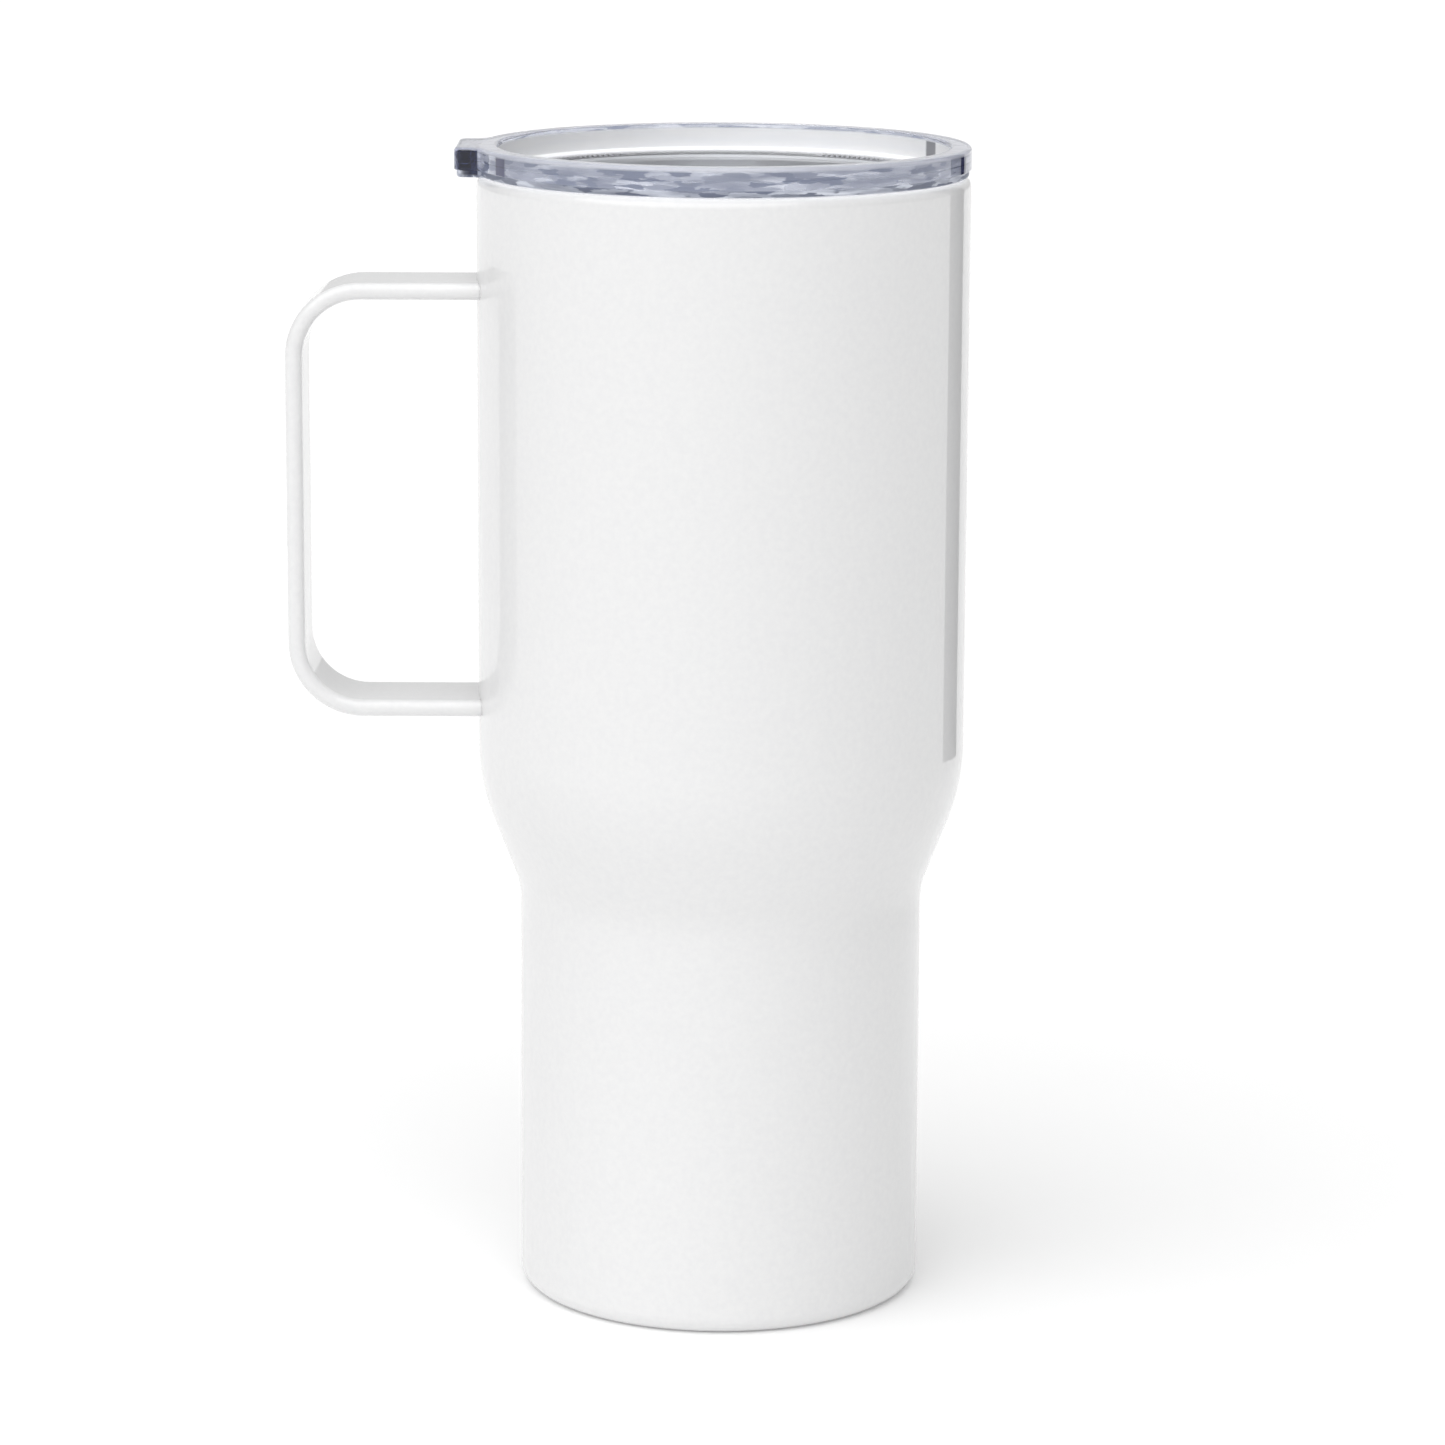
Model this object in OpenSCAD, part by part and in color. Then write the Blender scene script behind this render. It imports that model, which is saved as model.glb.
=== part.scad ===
// Insulated travel mug with a flat-bar handle and a press-in lid.
// Origin: centre of the base. +Z up, the handle towards -X, the drinking slot towards -Y.

/* [Body] */
// Outside diameter of the lower body, which goes into a cup holder
lower_d = 72; // [58:0.5:76]
// Outside diameter of the upper body
upper_d = 86.8; // [84:0.2:105]
// Height of the rim above the surface the mug stands on
rim_z = 201.2; // [168:0.2:242]
// Height at which the shoulder runs into the straight upper body
shoulder_z = 100.2; // [84:0.2:104]
// Slope of the neck, in degrees from the vertical
neck_angle = 21.3; // [18:0.1:25.5]
// Outside radius of the shoulder
shoulder_r = 38; // [32:0.5:46]
// Outside radius of the hollow where the lower body meets the neck
neck_blend_r = 15; // [12:0.5:18]
// Outside radius of the rolled edge at the base
base_edge_r = 3.1; // [2.6:0.1:3.7]
// Outside radius of the rolled edge at the rim
rim_edge_r = 1.8; // [1.5:0.1:2.1]

/* [Walls] */
// Thickness of the outer wall
shell_t = 0.8; // [0.6:0.05:1]
// Thickness of the liner
liner_t = 0.7; // [0.5:0.05:0.9]
// Vacuum gap between the outer wall and the liner
vacuum_gap = 2.7; // [2.2:0.1:3.3]
// Height of the drink's floor
liner_floor_z = 9; // [8.7:0.1:14]
// Inside radius of the corner at the drink's floor
liner_corner_r = 6; // [4:0.5:7]
// Height of the weld between the liner and its bottom, above the drink's floor
liner_weld_h = 8; // [7.6:0.2:12]
// Radius of the mouth's inner edge
mouth_edge_r = 1.2; // [1:0.1:1.5]

/* [Base] */
// Width of the rolled edge that the shell turns in under the base
base_lip_w = 4.4; // [3.8:0.1:5.4]
// Thickness of the base cap and of the closing plate
plate_t = 0.8; // [0.6:0.05:1]
// Height of the closing plate above the shell's rolled edge
plate_lift = 0.5; // [0.4:0.05:0.6]
// Height of the rim that is pressed up round the closing plate
plate_rim_h = 4.1; // [3:0.1:5]
// Width of the groove round the base cap
cap_groove = 0.3; // [0.2:0.05:0.4]
// Diameter of the dimple in the closing plate
dimple_d = 12; // [10:0.5:14.5]
// Height of the dimple
dimple_h = 2; // [1.6:0.1:2.4]
// Diameter of the evacuation hole
vent_d = 2; // [1.5:0.1:2.5]
// Diameter of the bead that closes the evacuation hole
bead_d = 5.6; // [4.6:0.1:6.8]
// Height of the bead's drop under the hole
bead_h = 0.9; // [0.7:0.05:1.1]
// Diameter of the getter pellet
getter_d = 10; // [8:0.5:12]
// Thickness of the getter pellet
getter_h = 1.5; // [1.2:0.1:1.8]
// Distance of the getter from the centre
getter_offset = 17; // [14.5:0.5:20.5]
// Wall of the getter's cup
getter_cup_t = 0.3; // [0.2:0.05:0.4]

/* [Foil] */
// Thickness of the copper foil
foil_t = 0.1; // [0.08:0.01:0.15]
// Bare length left at each end of each foil
foil_margin = 3; // [2:0.5:5]

/* [Handle] */
// Width of the handle bar
bar_w = 18.6; // [15:0.2:22.4]
// Thickness of the handle bar
bar_t = 3; // [2.5:0.1:3.6]
// Distance from the body to the middle of the handle bar
handle_reach = 31.8; // [26:0.2:38.4]
// Height of the handle, from the middle of one arm to the middle of the other
handle_h = 74.2; // [62:0.2:89.2]
// Distance from the rim down to the middle of the upper arm
handle_drop = 19.9; // [16:0.1:24]
// Radius of the handle's bends, at the middle of the bar
bend_r = 11.7; // [9.5:0.1:14.1]

/* [Lid] */
// Height of the lid's ring above the rim
ring_h = 5.2; // [4.8:0.1:6.3]
// Width of the lid's ring
ring_w = 3.8; // [3.2:0.1:4.6]
// Height of the stepped-in lip under the ring
ring_lip_h = 1.3; // [1:0.1:1.6]
// Depth of the step above the lip
ring_lip_step = 0.45; // [0.3:0.05:0.6]
// Radius of the ring's upper edges
ring_edge_r = 0.7; // [0.5:0.05:0.9]
// Depth of the sunk floor below the top of the ring
recess_depth = 13.3; // [12:0.1:14]
// Depth below the top of the ring at which the recess steps in from the ring to the plug
ring_depth = 4.3; // [3.6:0.1:4.6]
// Thickness of the lid's floor
floor_t = 2; // [1.6:0.1:2.4]
// Radius of the corner between the floor and the plug
floor_blend_r = 0.8; // [0.5:0.1:1]
// Height of the slope between the ring's inner wall and the plug's
recess_slope_h = 0.8; // [0.6:0.1:1]
// Depth of the plug below the rim
plug_depth = 11; // [10.2:0.1:13]
// Wall of the plug
plug_t = 2; // [1.8:0.1:2.4]
// Width of the thumb tab
tab_w = 18.8; // [15:0.2:22.6]
// Distance that the thumb tab stands out from the ring
tab_reach = 3.5; // [3:0.1:4.2]
// Radius of the thumb tab's corners
tab_corner_r = 2; // [1.5:0.1:2.4]
// Radius of the blend between the thumb tab and the ring
tab_blend_r = 3; // [2:0.1:3.6]
// Radius of the thumb tab's upper edge
tab_edge_r = 1.05; // [0.8:0.05:1.3]

/* [Gasket] */
// Height of the gasket
gasket_h = 3; // [2.4:0.1:3.6]
// Depth of the gasket's groove in the plug
groove_depth = 1.1; // [0.8:0.05:1.3]
// Height of the plug left under the groove
groove_foot = 2; // [1.6:0.1:2.4]
// Thickness of each of the gasket's two fins
fin_t = 0.8; // [0.6:0.05:1]

/* [Closure] */
// Width of the drinking slot
slot_w = 18; // [15:0.5:19]
// Length of the drinking slot
slot_l = 6.5; // [5.4:0.1:7.2]
// Floor left between the drinking slot and the plug's wall
slot_margin = 4.2; // [3.8:0.1:5]
// Distance that the slider travels
slider_travel = 10; // [8.3:0.1:12]
// Thickness of the slider
slider_t = 1.4; // [1.3:0.05:1.7]
// Margin of the slider round the openings that it closes
slider_margin = 2; // [1.7:0.1:2.2]
// Radius of the slider's corners
slider_corner_r = 3; // [2.5:0.1:3.6]
// Thickness of the seal under the slider
seal_t = 0.75; // [0.6:0.05:0.9]
// Rim of the slider that holds the seal
seal_rim = 1; // [0.8:0.05:1.2]
// Height of the grip above the slider
grip_h = 4; // [3:0.1:5]
// Width of the grip
grip_w = 14; // [11.5:0.5:16.8]
// Thickness of the grip
grip_t = 2.4; // [2:0.1:2.9]
// Width of the stem that runs in the guide slit
stem_w = 4; // [3.4:0.1:4.8]
// Length of the stem
stem_l = 5; // [4.2:0.1:6]
// Thickness of the snap foot
foot_t = 1.6; // [1.3:0.1:1.9]
// Margin of the snap foot round the stem
foot_margin = 2.6; // [2.2:0.1:3.1]
// Height of the head that holds the snap foot on the stem
head_t = 0.8; // [0.6:0.05:1]
// Distance that the stem's head stands out over the foot
head_lip = 0.5; // [0.4:0.05:0.6]

/* [Clearances] */
// Gap between the lid and the rim
seat_gap = 0.1; // [0.05:0.01:0.2]
// Gap between the plug and the liner
plug_gap = 0.6; // [0.4:0.05:0.8]
// Gap between the gasket's fins and the liner
gasket_gap = 0.08; // [0.05:0.01:0.1]
// Gap between the lid's floor and the slider above it, and between the floor and the foot below
slider_gap = 0.2; // [0.15:0.01:0.3]
// Gap between the seal and the lid's floor
seal_gap = 0.05; // [0.03:0.01:0.1]
// Gap on each side of the stem in the guide slit
stem_gap = 0.25; // [0.2:0.01:0.4]
// Gap between the stem and each end of the guide slit
stem_end_gap = 0.75; // [0.6:0.05:0.9]

/* [Hidden] */
$fn = 96;
// Cuts run this far past the face that they open
cut = 1;

// The body's outside, from which each wall is set in
lower_r = lower_d / 2;
upper_r = upper_d / 2;
shoulder_centre = [upper_r - shoulder_r, shoulder_z];
shoulder_foot = shoulder_centre + shoulder_r * [cos(neck_angle), -sin(neck_angle)];
neck_foot_z = shoulder_foot.y - (shoulder_foot.x - lower_r) / tan(neck_angle);

// Walls, as distances set in from the outside
liner_out = shell_t + vacuum_gap;
liner_in = liner_out + liner_t;
mouth_r = upper_r - liner_in;
mouth_weld_r = upper_r - (rim_edge_r + liner_in - mouth_edge_r) / 2;
liner_weld_z = liner_floor_z + liner_weld_h;

// Base
base_opening_r = lower_r - base_lip_w;
closing_plate_z = base_edge_r + plate_lift;
closing_plate_top = closing_plate_z + plate_t;
dimple_top = closing_plate_top + dimple_h;
// The dimple's wall leans in by this much from its foot to its roof
dimple_lean = 1;

// Handle
arm_top_z = rim_z - handle_drop;
arm_bottom_z = arm_top_z - handle_h;
grip_x = -upper_r - handle_reach;

// Lid
ring_bottom = rim_z + seat_gap;
ring_top = rim_z + ring_h + seat_gap;
recess_r = upper_r - ring_w;
step_z = ring_top - ring_depth;
floor_z = ring_top - recess_depth;
floor_bottom = floor_z - floor_t;
plug_r = mouth_r - plug_gap;
plug_in_r = plug_r - plug_t;
plug_bottom = rim_z - plug_depth;
groove_z = plug_bottom + groove_foot;
groove_r = plug_r - groove_depth;

// Closure, along Y from the slot's outer edge to the far end of the guide slit
slot_y = -(plug_in_r - slot_margin);
slot_end_y = slot_y + slot_l;
stem_y = slot_end_y + stem_end_gap;
slit_w = stem_w + 2 * stem_gap;
slit_end_y = stem_y + stem_l + slider_travel + stem_end_gap;
slider_w = slot_w + 2 * slider_margin;
slider_y = slot_y - slider_margin;
slider_l = slit_end_y + slider_margin - slider_y;
slider_z = floor_z + slider_gap;
foot_top = floor_bottom - slider_gap;

// The solid that fills the body's outside, set in by a distance, cut level at two heights.
module body_profile(inset, low_z, high_z) {
    low = lower_r - inset;
    foot = shoulder_foot - inset * [cos(neck_angle), -sin(neck_angle)];
    corner = [low, foot.y - (foot.x - low) / tan(neck_angle)];
    blend_r = neck_blend_r + inset;
    run = blend_r * tan(neck_angle / 2);
    blend_foot = corner - [0, run];
    blend_head = corner + run * [sin(neck_angle), cos(neck_angle)];
    intersection() {
        translate([0, low_z]) square([upper_r, high_z - low_z]);
        union() {
            polygon([
                [0, low_z - cut], [low, low_z - cut], corner, foot,
                [upper_r - inset, shoulder_z], [upper_r - inset, high_z + cut], [0, high_z + cut]
            ]);
            translate(shoulder_centre) circle(shoulder_r - inset);
            difference() {
                polygon([blend_foot, blend_head, corner - [cut, 0]]);
                translate(blend_foot + [blend_r, 0]) circle(blend_r);
            }
        }
    }
}

// What a round edge takes off a square corner. out is [1, 1] where the corner points away from
// the axis and up.
module edge_cut(corner, r, out) {
    translate(corner - [out.x * r, out.y * r]) difference() {
        reach = r + cut;
        translate([out.x < 0 ? -reach : 0, out.y < 0 ? -reach : 0]) square(reach);
        circle(r);
    }
}

// A rectangle with round ends, its length along X
module slot_outline(length, width) {
    square([length - width, width], center = true);
    for (side = [-1, 1])
        translate([side * (length - width) / 2, 0]) circle(width / 2);
}

// A rectangle centred on X, from y up, with round corners
module plate_outline(width, length, y, corner_r) {
    translate([-width / 2 + corner_r, y]) square([width - 2 * corner_r, length]);
    translate([-width / 2, y + corner_r]) square([width, length - 2 * corner_r]);
    for (x = [corner_r - width / 2, width / 2 - corner_r], end = [corner_r, length - corner_r])
        translate([x, y + end]) circle(corner_r);
}

// The outer wall: one formed tube, turned in at the base and at the rim
module outer_shell() {
    color("white") rotate_extrude() difference() {
        body_profile(0, 0, rim_z);
        edge_cut([lower_r, 0], base_edge_r, [1, -1]);
        edge_cut([upper_r, rim_z], rim_edge_r, [1, 1]);
        difference() {
            body_profile(shell_t, shell_t, rim_z - shell_t);
            edge_cut([lower_r - shell_t, shell_t], base_edge_r - shell_t, [1, -1]);
            edge_cut([upper_r - shell_t, rim_z - shell_t], rim_edge_r - shell_t, [1, 1]);
        }
        translate([-cut, -cut]) square([base_opening_r + cut, shell_t + 2 * cut]);
        translate([-cut, rim_z - shell_t - cut]) square([mouth_weld_r + cut, shell_t + 2 * cut]);
        polygon([
            [base_opening_r - cut, -cut], [base_opening_r + cap_groove + cut, -cut],
            [base_opening_r - cut, cap_groove + cut]
        ]);
    }
}

// The inner wall, flared out at the mouth to meet the outer wall
module liner_wall() {
    color("lightgray") rotate_extrude() {
        difference() {
            body_profile(liner_out, liner_weld_z, rim_z - mouth_edge_r);
            body_profile(liner_in, liner_weld_z - cut, rim_z);
        }
        difference() {
            translate([mouth_r, rim_z - mouth_edge_r])
                square([mouth_weld_r - mouth_r, mouth_edge_r]);
            edge_cut([mouth_r, rim_z], mouth_edge_r, [-1, 1]);
            difference() {
                translate([mouth_r + liner_t, rim_z - mouth_edge_r - cut])
                    square([upper_r, mouth_edge_r - liner_t + cut]);
                edge_cut([mouth_r + liner_t, rim_z - liner_t], mouth_edge_r - liner_t, [-1, 1]);
            }
        }
    }
}

// The pressed cup that closes the liner, welded to it edge to edge
module liner_bottom() {
    out_r = lower_r - liner_out;
    color("lightgray") rotate_extrude() difference() {
        translate([0, liner_floor_z - liner_t]) square([out_r, liner_weld_h + liner_t]);
        edge_cut([out_r, liner_floor_z - liner_t], liner_corner_r + liner_t, [1, -1]);
        difference() {
            translate([-cut, liner_floor_z]) square([out_r - liner_t + cut, liner_weld_h + cut]);
            edge_cut([out_r - liner_t, liner_floor_z], liner_corner_r, [1, -1]);
        }
    }
}

// The pressed plate that closes the vacuum space, with its dimple over the evacuation hole
module closing_plate() {
    plate_r = lower_r - shell_t;
    foot_r = dimple_d / 2;
    roof_r = foot_r - dimple_lean;
    color("silver") rotate_extrude() difference() {
        polygon([
            [0, closing_plate_z], [plate_r, closing_plate_z],
            [plate_r, closing_plate_z + plate_rim_h],
            [plate_r - plate_t, closing_plate_z + plate_rim_h],
            [plate_r - plate_t, closing_plate_top], [foot_r, closing_plate_top],
            [roof_r, dimple_top], [0, dimple_top]
        ]);
        polygon([
            [-cut, closing_plate_z - cut], [foot_r - plate_t, closing_plate_z - cut],
            [foot_r - plate_t, closing_plate_z], [roof_r - plate_t, dimple_top - plate_t],
            [-cut, dimple_top - plate_t]
        ]);
        square([vent_d / 2, dimple_top + cut]);
    }
}

// The glass bead: a plug in the evacuation hole and a flat drop under it
module seal_bead() {
    roof_z = dimple_top - plate_t;
    edge_r = bead_h * 4 / 5;
    color("darkslategray") rotate_extrude() {
        translate([0, roof_z - bead_h]) difference() {
            square([bead_d / 2, bead_h]);
            edge_cut([bead_d / 2, 0], edge_r, [1, -1]);
        }
        translate([0, roof_z - bead_h / 2]) square([vent_d / 2, plate_t + bead_h / 2]);
    }
}

// The cup that carries the getter, spot-welded to the closing plate
module getter_cup() {
    color("silver") translate([getter_offset, 0, closing_plate_top]) difference() {
        cylinder(r = getter_d / 2 + getter_cup_t, h = getter_h + 2 * getter_cup_t);
        translate([0, 0, getter_cup_t]) cylinder(d = getter_d, h = getter_h + cut);
    }
}

// The pellet that takes up the gas left in the vacuum space
module getter_pellet() {
    color("dimgray") translate([getter_offset, 0, closing_plate_top + getter_cup_t])
        cylinder(d = getter_d, h = getter_h);
}

// A band of foil wrapped round the liner
module foil(r, low_z, high_z) {
    color("peru") rotate_extrude()
        translate([r, low_z]) square([foil_t, high_z - low_z]);
}

module upper_foil() {
    foil(upper_r - liner_out, shoulder_z + foil_margin, rim_z - mouth_edge_r - foil_margin);
}

module lower_foil() {
    blend_start = neck_foot_z - (neck_blend_r + liner_in) * tan(neck_angle / 2);
    foil(lower_r - liner_out, liner_weld_z + foil_margin, blend_start - foil_margin);
}

// The flat disc that the mug stands on, its edge turned up to the closing plate
module base_cap() {
    color("silver") rotate_extrude() difference() {
        square([base_opening_r, closing_plate_z]);
        translate([-cut, plate_t])
            square([base_opening_r - plate_t + cut, closing_plate_z - plate_t + cut]);
        polygon([
            [base_opening_r - cap_groove - cut, -cut], [base_opening_r + cut, -cut],
            [base_opening_r + cut, cap_groove + cut]
        ]);
    }
}

// One straight run of the handle bar along Z, with round edges
module bar(length) {
    linear_extrude(length) rotate(90) slot_outline(bar_w, bar_t);
}

// One bend of the handle, a quarter turn from the grip into an arm
module bend() {
    rotate([90, 0, 0]) rotate_extrude(angle = 90) translate([bend_r, 0])
        rotate(90) slot_outline(bar_w, bar_t);
}

// The handle: one bar bent to a C, its arms cut to sit on the body
module handle() {
    bend_x = grip_x + bend_r;
    color("white") difference() {
        union() {
            translate([grip_x, 0, arm_bottom_z + bend_r]) bar(handle_h - 2 * bend_r);
            translate([bend_x, 0, arm_top_z - bend_r]) rotate([0, 0, 180]) mirror([0, 1, 0]) bend();
            translate([bend_x, 0, arm_bottom_z + bend_r]) rotate([180, 0, 180]) mirror([0, 1, 0])
                bend();
            for (z = [arm_bottom_z, arm_top_z])
                translate([bend_x, 0, z]) rotate([0, 90, 0]) bar(-bend_x - lower_r / 2);
        }
        rotate_extrude() body_profile(0, 0, rim_z);
    }
}

// The lid's ring, lip, floor and plug, turned about the axis
module lid_turned() {
    lip_r = upper_r - ring_lip_step;
    foot_edge_r = plug_t / 4;
    rotate_extrude() difference() {
        union() {
            difference() {
                translate([recess_r, ring_bottom + ring_lip_h])
                    square([ring_w, ring_top - ring_bottom - ring_lip_h]);
                edge_cut([upper_r, ring_top], ring_edge_r, [1, 1]);
                edge_cut([recess_r, ring_top], ring_edge_r, [-1, 1]);
            }
            difference() {
                translate([plug_r - cut, ring_bottom]) square([lip_r - plug_r + cut, ring_lip_h]);
                edge_cut([lip_r, ring_bottom], ring_lip_step, [1, -1]);
            }
            translate([plug_in_r, plug_bottom]) square([plug_t, ring_bottom - plug_bottom + cut]);
            translate([0, floor_bottom]) square([plug_in_r + cut, floor_t]);
            translate([plug_in_r - floor_blend_r, floor_z]) difference() {
                square(floor_blend_r);
                translate([0, floor_blend_r]) circle(floor_blend_r);
            }
        }
        polygon([
            [plug_in_r, step_z - recess_slope_h], [recess_r, step_z], [recess_r, step_z + 2 * cut],
            [plug_in_r, step_z + 2 * cut]
        ]);
        translate([groove_r, groove_z]) square([groove_depth + cut, gasket_h]);
        edge_cut([plug_r, plug_bottom], foot_edge_r, [1, -1]);
        edge_cut([plug_in_r, plug_bottom], foot_edge_r, [-1, -1]);
    }
}

// The corner between the thumb tab and the ring, filled out to a hollow round on one side.
// The round runs just into the ring, so that the two cross instead of only touching.
module tab_blend() {
    overrun = 0.02;
    centre_x = sqrt(pow(upper_r + tab_blend_r, 2) - pow(tab_w / 2 + tab_blend_r, 2));
    centre = [-centre_x, tab_w / 2 + tab_blend_r];
    difference() {
        polygon([
            [-centre_x, tab_w / 2 - cut], [-centre_x, tab_w / 2],
            centre * (upper_r - ring_w / 4) / norm(centre), [-upper_r + ring_w, tab_w / 2 - cut]
        ]);
        translate(centre) circle(tab_blend_r + overrun);
    }
}

// The thumb tab over the handle, blended into the ring on both sides
module thumb_tab() {
    tab_h = ring_top - ring_bottom;
    tab_x = -upper_r - tab_reach;
    translate([0, 0, ring_bottom]) intersection() {
        linear_extrude(tab_h) difference() {
            union() {
                rotate(90) plate_outline(tab_w, -tab_x, 0, tab_corner_r);
                tab_blend();
                mirror([0, 1]) tab_blend();
            }
            circle(upper_r - ring_w / 2);
        }
        translate([0, upper_r, 0]) rotate([90, 0, 0]) linear_extrude(2 * upper_r) difference() {
            translate([tab_x, 0]) square([upper_r, tab_h]);
            edge_cut([tab_x, tab_h], tab_edge_r, [-1, 1]);
            edge_cut([tab_x, 0], ring_edge_r, [-1, -1]);
        }
    }
}

// The clear lid, with the drinking slot and the slider's guide slit through its floor
module lid_body() {
    color("lightsteelblue", 0.5) difference() {
        union() {
            lid_turned();
            thumb_tab();
        }
        translate([0, 0, floor_bottom - cut]) linear_extrude(floor_t + 2 * cut) {
            translate([0, slot_y + slot_l / 2]) slot_outline(slot_w, slot_l);
            translate([-slit_w / 2, slot_end_y - slot_l / 2])
                square([slit_w, slit_end_y - slot_end_y + slot_l / 2]);
        }
    }
}

// The silicone ring in the plug's groove, with two fins that wipe the liner
module lid_gasket() {
    fin_r = mouth_r - gasket_gap;
    body_r = plug_r - groove_depth / 4;
    fin_bevel = fin_t / 4;
    color("whitesmoke") rotate_extrude() {
        translate([groove_r, groove_z]) square([body_r - groove_r, gasket_h]);
        for (z = [groove_z, groove_z + gasket_h - fin_t])
            translate([0, z]) polygon([
                [groove_r, 0], [fin_r - 2 * fin_bevel, 0], [fin_r, fin_bevel],
                [fin_r, fin_t - fin_bevel], [fin_r - 2 * fin_bevel, fin_t], [groove_r, fin_t]
            ]);
    }
}

// The hole through a piece that the stem goes through
module stem_outline() {
    translate([-stem_w / 2, stem_y]) square([stem_w, stem_l]);
}

module seal_outline() {
    plate_outline(slider_w - 2 * seal_rim, slider_l - 2 * seal_rim, slider_y + seal_rim,
        slider_corner_r - seal_rim);
}

// The slider: its plate with a pocket for the seal, the grip, and the stem with its head
module slider() {
    pocket_h = floor_z + seal_gap + seal_t - slider_z;
    head_z = foot_top - foot_t - head_t;
    color("aliceblue", 0.7) {
        difference() {
            translate([0, 0, slider_z]) linear_extrude(slider_t)
                plate_outline(slider_w, slider_l, slider_y, slider_corner_r);
            translate([0, 0, slider_z - cut]) linear_extrude(pocket_h + cut) seal_outline();
        }
        translate([0, slot_y + slot_l / 2, slider_z + slider_t])
            linear_extrude(grip_h) slot_outline(grip_w, grip_t);
        translate([0, 0, head_z]) linear_extrude(slider_z + pocket_h - head_z) stem_outline();
        translate([-stem_w / 2 - head_lip, stem_y, head_z])
            cube([stem_w + 2 * head_lip, stem_l, head_t]);
    }
}

// The silicone pad in the slider's pocket, round the stem
module slider_seal() {
    color("gainsboro") translate([0, 0, floor_z + seal_gap]) linear_extrude(seal_t)
        difference() {
            seal_outline();
            stem_outline();
        }
}

// The foot that snaps on the stem under the floor and holds the slider down
module slider_retainer() {
    color("aliceblue") translate([0, 0, foot_top - foot_t]) linear_extrude(foot_t) difference() {
        plate_outline(stem_w + 2 * foot_margin, stem_l + foot_margin, stem_y - foot_margin / 2,
            foot_margin / 2);
        stem_outline();
    }
}

outer_shell();
liner_wall();
liner_bottom();
closing_plate();
seal_bead();
getter_cup();
getter_pellet();
upper_foil();
lower_foil();
base_cap();
handle();
lid_body();
lid_gasket();
slider();
slider_seal();
slider_retainer();
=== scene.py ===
import math

import bmesh
import bpy
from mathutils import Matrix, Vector


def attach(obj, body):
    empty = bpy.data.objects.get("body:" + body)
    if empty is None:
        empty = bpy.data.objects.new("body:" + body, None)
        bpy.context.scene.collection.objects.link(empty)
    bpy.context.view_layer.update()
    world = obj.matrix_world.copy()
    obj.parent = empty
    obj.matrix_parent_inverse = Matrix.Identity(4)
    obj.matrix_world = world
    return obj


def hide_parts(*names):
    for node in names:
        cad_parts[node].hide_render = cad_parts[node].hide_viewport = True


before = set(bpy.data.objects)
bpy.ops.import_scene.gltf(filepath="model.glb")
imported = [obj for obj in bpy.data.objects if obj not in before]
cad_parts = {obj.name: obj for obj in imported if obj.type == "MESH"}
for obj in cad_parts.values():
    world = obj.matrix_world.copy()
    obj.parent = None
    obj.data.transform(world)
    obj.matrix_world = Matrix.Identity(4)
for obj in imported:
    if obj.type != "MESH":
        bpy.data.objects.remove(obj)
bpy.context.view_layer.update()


# ---- Outer shell ----
# One steel tube, formed in a die so that its lower half narrows to a cup-holder size, with its
# edge turned in under the base and over at the mouth. The outside carries a thick gloss white
# coat, which levels out smooth apart from a faint orange peel.
MM = 0.001
LATHE_STEPS = 256
SHARP_ANGLE = math.radians(32)

UPPER_R, LOWER_R, RIM_Z = 43.4, 36.0, 201.2
NECK_ANGLE = 21.3
SHOULDER_R, SHOULDER_Z = 38.0, 100.2
NECK_BLEND_R = 15.0
BASE_EDGE_R, RIM_EDGE_R = 3.1, 1.8
BASE_OPENING_R, MOUTH_WELD_R = 31.6, 41.0
SHELL_T = 0.8
BASE_GROOVE = 0.3
ON_AXIS = 1e-6  # a radius below this is a point on the axis

NOISE_ROUGHNESS = 0.55
COAT_DARK, COAT_LIGHT = (0.75, 0.75, 0.755), (0.78, 0.78, 0.78)
COAT_ROUGHNESS = (0.32, 0.42)
MOTTLE_SCALE, PATCH_SCALE = 900, 60
PEEL_SCALE, PEEL_DEPTH = 420, 0.000012
GRAIN_SCALE, GRAIN_DEPTH = 2600, 0.000002


def arc(centre, radius, start, end, steps=10):
    """Points on a round from one angle to the other, in degrees."""
    turns = [math.radians(start + (end - start) * i / steps) for i in range(steps + 1)]
    return [(centre[0] + radius * math.cos(a), centre[1] + radius * math.sin(a)) for a in turns]


def body_curve(inset):
    """The body's outline from the lower wall to the upper one, set in from the outside."""
    lean = math.radians(NECK_ANGLE)
    shoulder = (UPPER_R - SHOULDER_R, SHOULDER_Z)
    foot = (shoulder[0] + SHOULDER_R * math.cos(lean), shoulder[1] - SHOULDER_R * math.sin(lean))
    corner_z = foot[1] - (foot[0] - LOWER_R) / math.tan(lean)
    blend = (LOWER_R + NECK_BLEND_R, corner_z - NECK_BLEND_R * math.tan(lean / 2))
    return (arc(blend, NECK_BLEND_R + inset, 180, 180 - NECK_ANGLE, 12)
            + arc(shoulder, SHOULDER_R - inset, -NECK_ANGLE, 0, 18))


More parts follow.
